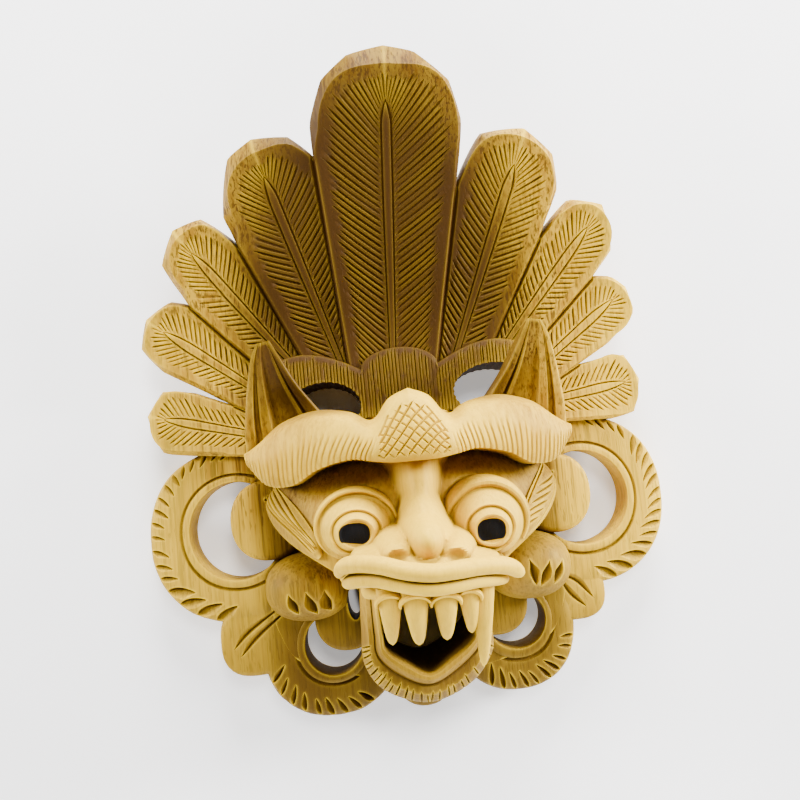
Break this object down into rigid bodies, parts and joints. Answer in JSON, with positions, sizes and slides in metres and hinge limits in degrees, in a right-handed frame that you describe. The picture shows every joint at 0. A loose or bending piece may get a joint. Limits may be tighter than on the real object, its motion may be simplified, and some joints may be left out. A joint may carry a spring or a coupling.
{
  "type": "carved wooden guardian mask",
  "caption": "Openwork wooden wall mask of a fanged guardian beast with a fan of feathers, side scrolls and a hollowed back.",
  "frame": {"origin": "on the sawn back's plane, under the middle of the bounding box", "axes": "+Z leaves the face, +Y runs up to the tip of the crown, +X to the right of someone who faces the mask"},
  "size_m": [0.168, 0.2036, 0.0873],
  "materials": {
    "carved_mask": "pale yellow wood with a satin finish; the two pupils are painted black"
  },
  "bodies": {
    "root": {"carved_mask": "carved_mask"}
  },
  "joints": []
}
